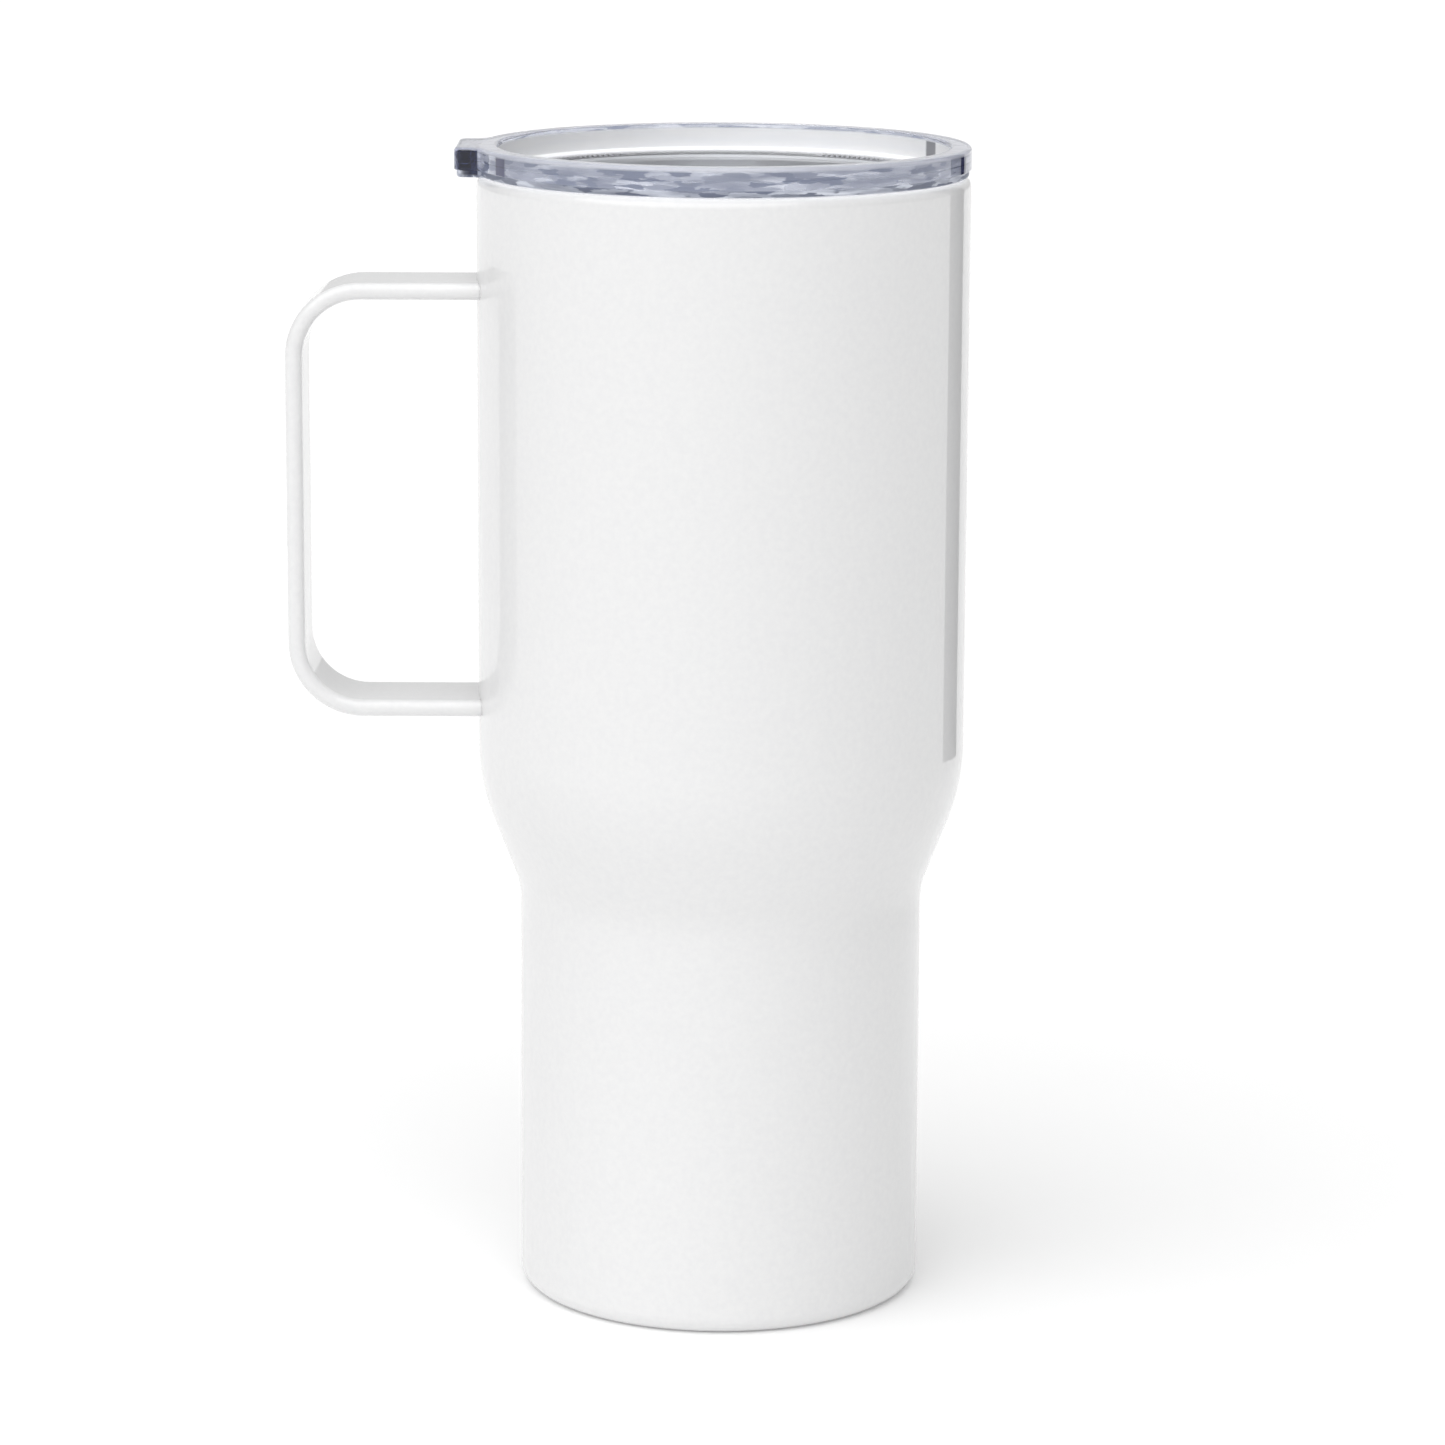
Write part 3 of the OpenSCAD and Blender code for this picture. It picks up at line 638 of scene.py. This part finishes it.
def lid_clearness(tree, z, flow, patches, side, lip, wall):
    """How much light goes through: all of it but for patches in the side, the lip and the wall, which
    are painted milky white as painted light.
    """
    painted_line = spread(tree, distance_to(tree, z, PAINTED_LINE_Z * MM), 0.30, 0, *[w * MM for w in PAINTED_LINE_WIDTH])
    plainer = spread(tree, z, 1, 0.6, (PAINTED_LINE_Z - 0.1) * MM, (PAINTED_LINE_Z + 0.1) * MM)
    bright = times(tree, spread(tree, patches, 0.06, 0.55, 0.45, 0.95), plainer,
                   spread(tree, flow, 0.5, 1.0, 0.4, 0.6))
    painted_light = plus(tree, times(tree, side, plus(tree, bright, painted_line)), times(tree, lip, LIP_PAINTED_LIGHT),
                times(tree, wall, WALL_PAINTED_LIGHT))
    return spread(tree, painted_light, 1, 0, 0, 1)


def clear_plastic(name):
    """Clear moulding, with the colours that its thick parts show painted in."""
    material, tree, shader = new_material(name)
    x, y, z, r = place_of(tree)
    flow = ring_noise(tree, FLOW_STRETCH, 5)
    patches = trapped_light(tree)
    side, tab, lip, wall = lid_masks(tree, x, y, z, r)
    tree.links.new(lid_colour(tree, flow, patches, side, tab, upright_shade_marks(tree, r, z)),
                   shader.inputs["Base Color"])
    rough = plus(tree, spread(tree, flow, 0.0, GLOSS_ROUGHNESS),
                 times(tree, plus(tree, lip, wall), SOFT_ROUGHNESS))
    tree.links.new(rough, shader.inputs["Roughness"])
    tree.links.new(lid_clearness(tree, z, flow, patches, side, lip, wall),
                   shader.inputs["Transmission Weight"])
    shader.inputs["IOR"].default_value = PLASTIC_IOR
    volume = tree.nodes.new("ShaderNodeVolumeAbsorption")
    volume.inputs["Color"].default_value = PLASTIC_TINT
    volume.inputs["Density"].default_value = PLASTIC_DENSITY
    tree.links.new(volume.outputs["Volume"], tree.nodes["Material Output"].inputs["Volume"])
    wave = bump(tree, shader, noise(tree, WAVE_SCALE, 2), WAVE_DEPTH)
    bump(tree, shader, flow, FLOW_DEPTH, before=wave)
    return material


lid = add_piece("lid_moulded", *closed_skin(lid_loops()), "lid", "lid_body")
lid.data.materials.append(clear_plastic("clear_plastic"))
lid.visible_shadow = False  # clear plastic here would stop the lamp's light outright


# ---- Gasket ----
# A ring of translucent silicone, moulded with two wiping fins and stretched into the plug's
# groove. It is what holds the lid in the mouth and keeps it tight.
FIN_R, FIN_T, FIN_BEVEL = 39.12, 0.8, 0.2
GASKET_BODY_R = 38.325
SILICONE_DARK, SILICONE_LIGHT = (0.70, 0.71, 0.73), (0.80, 0.81, 0.82)
SILICONE_ROUGHNESS = (0.38, 0.5)
SILICONE_CLOUD, SILICONE_PATCHES, SILICONE_GRAIN = 500, 120, 1800
MOULD_GRAIN_DEPTH = 0.000008


def silicone():
    material, tree, shader = new_material("silicone")
    cloud = spread(tree, noise(tree, SILICONE_CLOUD), 0, 1)
    tree.links.new(blend_colours(tree, cloud, SILICONE_DARK, SILICONE_LIGHT),
                   shader.inputs["Base Color"])
    tree.links.new(spread(tree, noise(tree, SILICONE_PATCHES), *SILICONE_ROUGHNESS),
                   shader.inputs["Roughness"])
    shader.inputs["Subsurface Weight"].default_value = 0.3
    shader.inputs["Subsurface Radius"].default_value = (0.002, 0.002, 0.002)
    bump(tree, shader, noise(tree, SILICONE_GRAIN, 2), MOULD_GRAIN_DEPTH)
    return material


def fin(foot_z):
    """A fin's section, from its foot on the gasket's body out round its tip and back."""
    return [(GASKET_BODY_R, foot_z), (FIN_R - 2 * FIN_BEVEL, foot_z), (FIN_R, foot_z + FIN_BEVEL),
            (FIN_R, foot_z + FIN_T - FIN_BEVEL), (FIN_R - 2 * FIN_BEVEL, foot_z + FIN_T),
            (GASKET_BODY_R, foot_z + FIN_T)]


gasket_outline = ([(GROOVE_R, GROOVE_Z + GROOVE_H), (GROOVE_R, GROOVE_Z)] + fin(GROOVE_Z)
                  + fin(GROOVE_Z + GROOVE_H - FIN_T))
soft = silicone()
gasket = lathe("lid_gasket_moulded", gasket_outline, "lid", "lid_gasket")
gasket.data.materials.append(soft)


# ---- Slider, its seal and its foot ----
# A small frosted moulding that slides over the drinking slot. A silicone pad sits in a pocket
# under it, and its stem snaps through a foot below the floor, which keeps it down.
SLIDER_W, SLIDER_Y, SLIDER_L = 22.0, -34.4, 27.0
SLIDER_Z, SLIDER_TOP, SLIDER_CORNER_R, SLIDER_EDGE_R = 193.4, 194.8, 3.0, 0.4
SEAL_RIM, POCKET_TOP = 1.0, 194.0
GRIP_W, GRIP_T, GRIP_TOP, GRIP_EDGE_R = 14.0, 2.4, 198.8, 0.6
STEM_W, STEM_Y, STEM_L = 4.0, -25.15, 5.0
STEM_CORNER_R = 0.3
HEAD_LIP, HEAD_Z, HEAD_TOP = 0.5, 188.6, 189.4
HEAD_CORNER_R, HEAD_EDGE = 0.4, 0.3
OVERLAP = 0.05  # how far one shell reaches into the next, before they are joined
WELD = 0.0001
ROUND_STEPS, TOP_STEPS = 8, 6
FROST_DARK, FROST_LIGHT = (0.82, 0.85, 0.92), (0.92, 0.94, 0.97)
FROST_CLOUD, FROST_GRAIN, FROST_ROUGHNESS, FROST_CLEARNESS = 260, 1500, (0.14, 0.26), 0.4


def rounded_plate(width, length, y, corner_r, inset, z):
    """A loop round a rectangle with round corners, centred on X and starting at y."""
    mid_x, near, far = width / 2 - corner_r, y + corner_r, y + length - corner_r
    r = corner_r - inset
    corners = [((mid_x, near), -90), ((mid_x, far), 0), ((-mid_x, far), 90), ((-mid_x, near), 180)]
    return [(px, py, z) for centre, start in corners
            for px, py in arc(centre, r, start, start + 90, ROUND_STEPS)]


def closed_mesh(loops):
    """A mesh of loops skinned one to the next, with a face closing each end."""
    made = bmesh.new()
    rings = [[made.verts.new(v) for v in loop] for loop in loops]
    for low, high in zip(rings, rings[1:]):
        for i in range(len(low)):
            j = (i + 1) % len(low)
            made.faces.new((low[i], low[j], high[j], high[i]))
    made.faces.new(rings[0])
    made.faces.new(rings[-1])
    bmesh.ops.remove_doubles(made, verts=made.verts, dist=WELD)
    bmesh.ops.recalc_face_normals(made, faces=made.faces)
    mesh = bpy.data.meshes.new("shell")
    made.to_mesh(mesh)
    made.free()
    return mesh


def joined(shells):
    """One skin round closed shells that reach into each other."""
    parts = [bpy.data.objects.new("shell", closed_mesh(loops)) for loops in shells]
    for part in parts:
        bpy.context.scene.collection.objects.link(part)
    for other in parts[1:]:
        join = parts[0].modifiers.new("join", "BOOLEAN")
        join.operation = "UNION"
        join.solver = "EXACT"
        join.object = other
    graph = bpy.context.evaluated_depsgraph_get()
    mesh = bpy.data.meshes.new_from_object(parts[0].evaluated_get(graph))
    skin = [tuple(v.co) for v in mesh.vertices], [tuple(face.vertices) for face in mesh.polygons]
    for part in parts:
        bpy.data.objects.remove(part)
    return skin


def rounded_top(width, length, y, corner_r, top, edge_r):
    """Loops that round over the top edge of a plate."""
    return [rounded_plate(width, length, y, corner_r, edge_r - x, top - edge_r + z)
            for x, z in arc((0, 0), edge_r, 0, 90, TOP_STEPS)]


def frosted_plastic():
    material, tree, shader = new_material("frosted_plastic")
    cloud = noise(tree, FROST_CLOUD)
    tree.links.new(blend_colours(tree, spread(tree, cloud, 0, 1), FROST_DARK, FROST_LIGHT),
                   shader.inputs["Base Color"])
    tree.links.new(spread(tree, cloud, *FROST_ROUGHNESS), shader.inputs["Roughness"])
    shader.inputs["Transmission Weight"].default_value = FROST_CLEARNESS
    shader.inputs["IOR"].default_value = 1.50
    bump(tree, shader, noise(tree, FROST_GRAIN, 2), MOULD_GRAIN_DEPTH)
    return material


def dress(node, material):
    """Gives a CAD node that shows as it is a finish of its own."""
    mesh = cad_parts[node].data
    mesh.materials.clear()
    mesh.materials.append(material)


pocket = [rounded_plate(SLIDER_W - 2 * SEAL_RIM, SLIDER_L - 2 * SEAL_RIM, SLIDER_Y + SEAL_RIM,
                        SLIDER_CORNER_R - SEAL_RIM, 0, z) for z in (POCKET_TOP, SLIDER_Z)]
outside = (SLIDER_W, SLIDER_L, SLIDER_Y, SLIDER_CORNER_R)
plate = pocket + [rounded_plate(*outside, 0, SLIDER_Z)]
plate += rounded_top(*outside, SLIDER_TOP, SLIDER_EDGE_R)
grip_foot = (GRIP_W, GRIP_T, SLOT_Y + SLOT_L / 2 - GRIP_T / 2, GRIP_T / 2)
grip = [rounded_plate(*grip_foot, 0, SLIDER_TOP - OVERLAP)]
grip += rounded_top(*grip_foot, GRIP_TOP, GRIP_EDGE_R)
stem = [rounded_plate(STEM_W, STEM_L, STEM_Y, STEM_CORNER_R, 0, z)
        for z in (HEAD_TOP - OVERLAP, POCKET_TOP + OVERLAP)]
head = [rounded_plate(STEM_W + 2 * HEAD_LIP, STEM_L, STEM_Y, HEAD_CORNER_R, inset, z)
        for inset, z in ((HEAD_EDGE, HEAD_Z), (0, HEAD_Z + HEAD_EDGE), (0, HEAD_TOP))]
slider = add_piece("slider_moulded", *joined([plate, grip, stem, head]), "closure", "slider")
frosted = frosted_plastic()
slider.data.materials.append(frosted)
slider.visible_shadow = False  # for the same reason as the lid
dress("slider_seal", soft)
dress("slider_retainer", frosted)


# ---- Inside the vacuum space ----
# The closing plate is pressed steel with a dimple for the evacuation hole, which a bead of dark
# glass seals. A sintered getter pellet sits in its cup, and copper foil wraps the liner.
PELLET_DARK, PELLET_LIGHT = (0.05, 0.05, 0.055), (0.14, 0.14, 0.14)
GLASS_DARK, GLASS_LIGHT = (0.01, 0.018, 0.016), (0.03, 0.045, 0.04)
COPPER_DARK, COPPER_LIGHT = (0.72, 0.33, 0.20), (0.86, 0.45, 0.30)
PELLET_SCALE, PELLET_HEIGHT = 3000, 0.00005
SWIRL_SCALE, SWIRL_HEIGHT = 700, 0.00002
CREASE_SCALE, CREASE_HEIGHT = 90, 0.0004


def sintered_metal():
    material, tree, shader = new_material("sintered_metal")
    grains = noise(tree, PELLET_SCALE, 2)
    tree.links.new(blend_colours(tree, spread(tree, grains, 0, 1), PELLET_DARK, PELLET_LIGHT),
                   shader.inputs["Base Color"])
    shader.inputs["Metallic"].default_value = 0.8
    shader.inputs["Roughness"].default_value = 0.7
    bump(tree, shader, grains, PELLET_HEIGHT)
    return material


def sealing_glass():
    material, tree, shader = new_material("sealing_glass")
    swirl = spread(tree, noise(tree, SWIRL_SCALE), 0, 1)
    tree.links.new(blend_colours(tree, swirl, GLASS_DARK, GLASS_LIGHT), shader.inputs["Base Color"])
    shader.inputs["Roughness"].default_value = 0.12
    bump(tree, shader, swirl, SWIRL_HEIGHT)
    return material


def copper_foil():
    material, tree, shader = new_material("copper_foil")
    creases = noise(tree, CREASE_SCALE, 5)
    tree.links.new(blend_colours(tree, spread(tree, creases, 0, 1), COPPER_DARK, COPPER_LIGHT),
                   shader.inputs["Base Color"])
    shader.inputs["Metallic"].default_value = 1.0
    shader.inputs["Roughness"].default_value = 0.22
    bump(tree, shader, creases, CREASE_HEIGHT)
    return material


dress("closing_plate", spun_steel("pressed_steel", dark=(0.36, 0.36, 0.36), light=(0.5, 0.5, 0.49),
                                  low_rough=0.3, high_rough=0.45, line_scale=900))
dress("getter_cup", spun_steel("getter_steel", dark=(0.4, 0.4, 0.4), light=(0.52, 0.52, 0.51),
                               low_rough=0.3, high_rough=0.45, line_scale=1500))
dress("getter_pellet", sintered_metal())
dress("seal_bead", sealing_glass())
foil = copper_foil()
dress("upper_foil", foil)
dress("lower_foil", foil)


# ---- Studio ----
# A wide white floor with no edge in sight and a soft white surround: bright on the left and at the
# front, dimmer on the right. A wide soft sun lays a shadow to the right and behind. A dark card at
# the back right, which only gloss and glass see, draws the dark edge of the coat's shine.
FLOOR_SIZE = 30.0
CAMERA_AT = (0.0002, -0.8983, 0.2900)
CAMERA_DOWN, CAMERA_ROLL = 11.756, 0.274
LENS = 127.59
LAMP_STRENGTH, LAMP_LEAN, LAMP_TURN, LAMP_SOFTNESS = 1.75, 28, -30, 80
FLOOR_DARK, FLOOR_LIGHT, FLOOR_GLOW = (0.90, 0.90, 0.90), (0.905, 0.905, 0.905), 0.10
CARD_EDGES = (0.231, 0.141), (0.171, 0.201)  # where the card's two upright edges stand
CARD_LOW, CARD_HIGH = 0.045, 0.40
FELT_DARK, FELT_LIGHT = (0.02, 0.02, 0.025), (0.03, 0.03, 0.035)
SURROUND = [  # degrees from the camera's side towards +X, brightness
    (-180, 0.68), (-141, 0.68), (-139, 0.30), (-95, 0.38), (-45, 0.80), (39, 0.84), (43, 0.24),
    (98, 0.24), (104, 0.60), (180, 0.68)]


def white_floor():
    material, tree, shader = new_material("white_floor")
    grain = spread(tree, noise(tree, 40), 0, 1)
    tree.links.new(blend_colours(tree, grain, FLOOR_DARK, FLOOR_LIGHT), shader.inputs["Base Color"])
    shader.inputs["Roughness"].default_value = 1.0
    shader.inputs["Specular IOR Level"].default_value = 0.0
    shader.inputs["Emission Color"].default_value = (1, 1, 1, 1)
    shader.inputs["Emission Strength"].default_value = FLOOR_GLOW
    return material


def dark_card():
    material, tree, shader = new_material("dark_card")
    felt = spread(tree, noise(tree, 900), 0, 1)
    tree.links.new(blend_colours(tree, felt, FELT_DARK, FELT_LIGHT), shader.inputs["Base Color"])
    shader.inputs["Roughness"].default_value = 1.0
    shader.inputs["Specular IOR Level"].default_value = 0.0
    return material


def flat_card(name, corners):
    mesh = bpy.data.meshes.new(name)
    mesh.from_pydata(corners, [], [(0, 1, 2, 3)])
    card = bpy.data.objects.new(name, mesh)
    bpy.context.scene.collection.objects.link(card)
    return card


def soft_lamp(strength, lean, turn, softness):
    """An even light over the whole floor, leaning from overhead, with soft shadows."""
    light = bpy.data.lights.new("soft_lamp", "SUN")
    light.energy = strength
    light.angle = math.radians(softness)
    made = bpy.data.objects.new("soft_lamp", light)
    made.rotation_euler = (math.radians(lean), 0, math.radians(turn))
    bpy.context.scene.collection.objects.link(made)


def surround():
    """A dome whose brightness runs round the mug as SURROUND gives it."""
    world = bpy.data.worlds.new("surround")
    world.use_nodes = True
    tree = world.node_tree
    place = tree.nodes.new("ShaderNodeTexCoord")
    parts = tree.nodes.new("ShaderNodeSeparateXYZ")
    tree.links.new(place.outputs["Generated"], parts.inputs["Vector"])
    back = tree.nodes.new("ShaderNodeMath")
    back.operation = "MULTIPLY"
    back.inputs[1].default_value = -1
    tree.links.new(parts.outputs["Y"], back.inputs[0])
    angle = tree.nodes.new("ShaderNodeMath")
    angle.operation = "ARCTAN2"
    tree.links.new(parts.outputs["X"], angle.inputs[0])
    tree.links.new(back.outputs["Value"], angle.inputs[1])
    turn = spread(tree, angle.outputs["Value"], 0, 1, -math.pi, math.pi)
    ramp = tree.nodes.new("ShaderNodeValToRGB")
    stops = ramp.color_ramp.elements
    while len(stops) < len(SURROUND):
        stops.new(0.5)
    for stop, (degrees, level) in zip(stops, SURROUND):
        stop.position = (degrees + 180) / 360
        stop.color = (level, level, level, 1)
    tree.links.new(turn, ramp.inputs["Fac"])
    tree.links.new(ramp.outputs["Color"], tree.nodes["Background"].inputs["Color"])
    bpy.context.scene.world = world


half = FLOOR_SIZE / 2
floor = flat_card("floor", [(-half, -half, 0), (half, -half, 0), (half, half, 0), (-half, half, 0)])
floor.data.materials.append(white_floor())
near_edge, far_edge = CARD_EDGES
card = flat_card("dark_card", [(*near_edge, CARD_LOW), (*far_edge, CARD_LOW), (*far_edge, CARD_HIGH),
                               (*near_edge, CARD_HIGH)])
card.data.materials.append(dark_card())
for ray in ("camera", "diffuse", "shadow"):
    setattr(card, "visible_" + ray, False)
surround()
soft_lamp(LAMP_STRENGTH, LAMP_LEAN, LAMP_TURN, LAMP_SOFTNESS)

camera = bpy.data.objects.new("camera", bpy.data.cameras.new("camera"))
camera.data.lens = LENS
camera.data.clip_start = 0.05
camera.location = CAMERA_AT
camera.rotation_euler = (math.radians(90 - CAMERA_DOWN), 0, 0)
camera.rotation_euler.rotate_axis("Z", math.radians(CAMERA_ROLL))
bpy.context.scene.collection.objects.link(camera)
bpy.context.scene.camera = camera
bpy.context.scene.view_settings.view_transform = "Standard"

bpy.context.view_layer.update()
